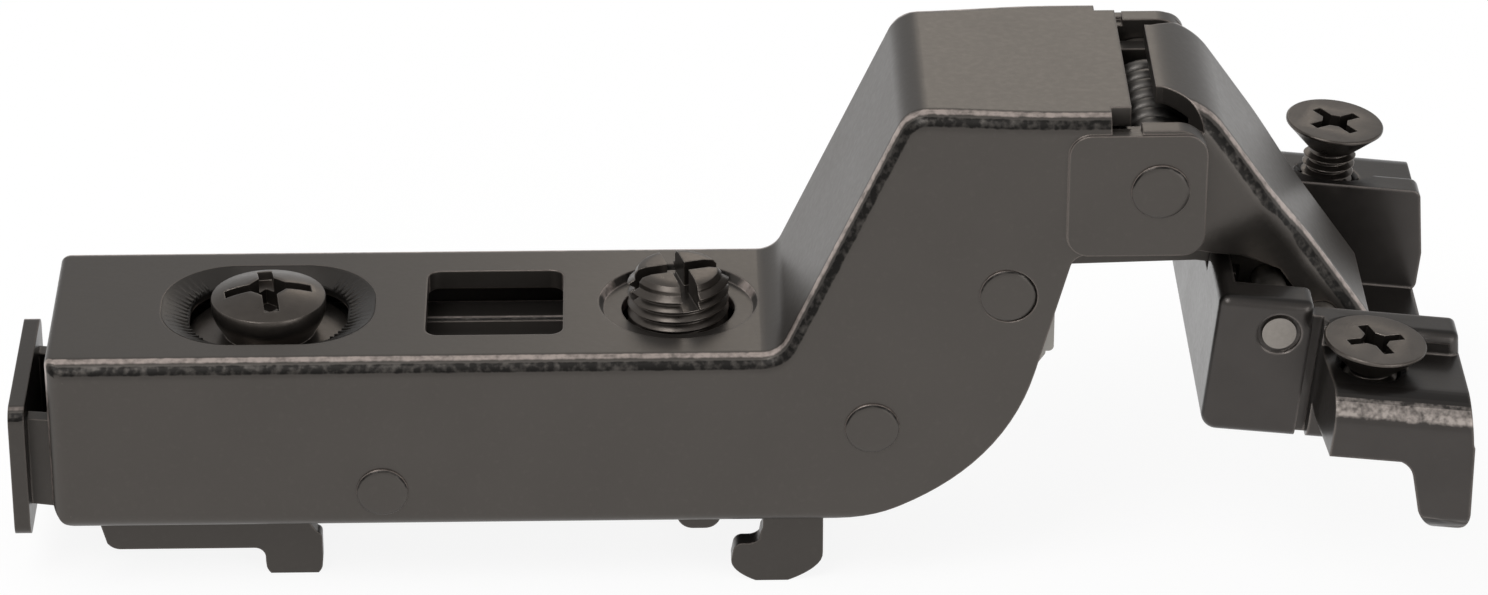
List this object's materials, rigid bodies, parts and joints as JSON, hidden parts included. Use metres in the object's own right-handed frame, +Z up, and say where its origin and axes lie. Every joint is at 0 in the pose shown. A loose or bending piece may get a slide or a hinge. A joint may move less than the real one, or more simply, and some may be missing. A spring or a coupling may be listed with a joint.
{
  "type": "concealed cup hinge",
  "caption": "Clip-on concealed hinge arm with high crank, two levers and a screw-on boss with wings for narrow metal-framed doors.",
  "frame": {"origin": "middle of the flat pad under the bracket that rests on the mounting plate", "axes": "+X along the arm towards the door, +Z up away from the mounting plate, +Y across; the part is nearly symmetric about Y=0"},
  "size_m": [0.107, 0.0416, 0.0397],
  "materials": {
    "dark_nickel": "black-nickel plated steel, satin",
    "bracket_steel": "black-nickel plated steel, satin",
    "rivet_steel": "black-nickel plated steel, brushed",
    "screw_steel": "black-nickel plated steel, polished",
    "boss_casting": "black-nickel plated zinc casting, satin",
    "bright_steel": "bare steel, ground",
    "spring_steel": "oiled spring steel",
    "grey_nylon": "moulded nylon"
  },
  "bodies": {
    "root": {"bracket": "bracket_steel", "latch_pin": "bright_steel", "latch_spring": "spring_steel"},
    "release": {"release_lever": "bracket_steel"},
    "depth_screw": {"depth_screw": "screw_steel"},
    "slide": {"rear_rivet_near": "rivet_steel", "rear_rivet_far": "rivet_steel"},
    "side_screw": {"side_screw": "screw_steel"},
    "arm": {"arm": "dark_nickel", "front_rivet": "rivet_steel", "lever_rivet": "rivet_steel", "ear_rivet": "rivet_steel", "ear_washer_near": "bright_steel", "ear_washer_far": "bright_steel", "closing_spring": "spring_steel", "spring_shoe": "grey_nylon"},
    "outer_lever": {"outer_lever": "dark_nickel"},
    "boss": {"boss": "boss_casting", "boss_pin_inner": "bright_steel", "boss_pin_outer": "bright_steel"},
    "inner_lever": {"inner_lever": "dark_nickel"},
    "screw_near": {"frame_screw_near": "screw_steel"},
    "screw_far": {"frame_screw_far": "screw_steel"}
  },
  "joints": [
    {"name": "latch_turn", "type": "hinge", "parent": "root", "child": "release", "pos_m": [-0.024, 0, -0.0045], "axis": [0, 1, 0], "range_deg": [0, 8], "stiffness_Nm_per_rad": 0.05, "springref_deg": -17.19},
    {"name": "arm_depth", "type": "slide", "parent": "root", "child": "slide", "axis": [1, 0, 0], "range_m": [-0.0013, 0.0013]},
    {"name": "arm_tilt", "type": "hinge", "parent": "slide", "child": "arm", "pos_m": [-0.0084, 0, -0.0057], "axis": [0, 1, 0], "range_deg": [-1.3, 1.3]},
    {"name": "depth_screw_turn", "type": "hinge", "parent": "root", "child": "depth_screw", "pos_m": [-0.0169, 0, 0], "axis": [0, 0, 1], "range_deg": [-160, 160]},
    {"name": "side_screw_turn", "type": "hinge", "parent": "slide", "child": "side_screw", "pos_m": [0.0137, 0, 0], "axis": [0, 0, 1], "range_deg": [-180, 180]},
    {"name": "ear_pivot", "type": "hinge", "parent": "arm", "child": "outer_lever", "pos_m": [0.0485, 0, 0.0192], "axis": [0, 1, 0], "range_deg": [0, 18.9]},
    {"name": "boss_far_pivot", "type": "hinge", "parent": "outer_lever", "child": "boss", "pos_m": [0.0611, 0, 0.0066], "axis": [0, -1, 0], "range_deg": [0, 113.9]},
    {"name": "boss_near_pivot", "type": "hinge", "parent": "boss", "child": "inner_lever", "pos_m": [0.0573, 0, 0.0087], "axis": [0, 1, 0], "range_deg": [0, 122.8]},
    {"name": "screw_near_turn", "type": "hinge", "parent": "boss", "child": "screw_near", "pos_m": [0.06402, -0.0152, 0.00945], "axis": [0.1045, 0, 0.9945], "range_deg": [-180, 180]},
    {"name": "screw_far_turn", "type": "hinge", "parent": "boss", "child": "screw_far", "pos_m": [0.06429, 0.0152, 0.01209], "axis": [0.1045, 0, 0.9945], "range_deg": [-180, 180]}
  ],
  "couplings": [
    {"joint": "ear_pivot", "follows": "boss_far_pivot", "ratio": 0.16593},
    {"joint": "boss_near_pivot", "follows": "boss_far_pivot", "ratio": 1.0781},
    {"joint": "depth_screw_turn", "follows": "arm_depth", "rad_per_m": 2148.1},
    {"joint": "side_screw_turn", "follows": "arm_tilt", "ratio": 138.46}
  ]
}
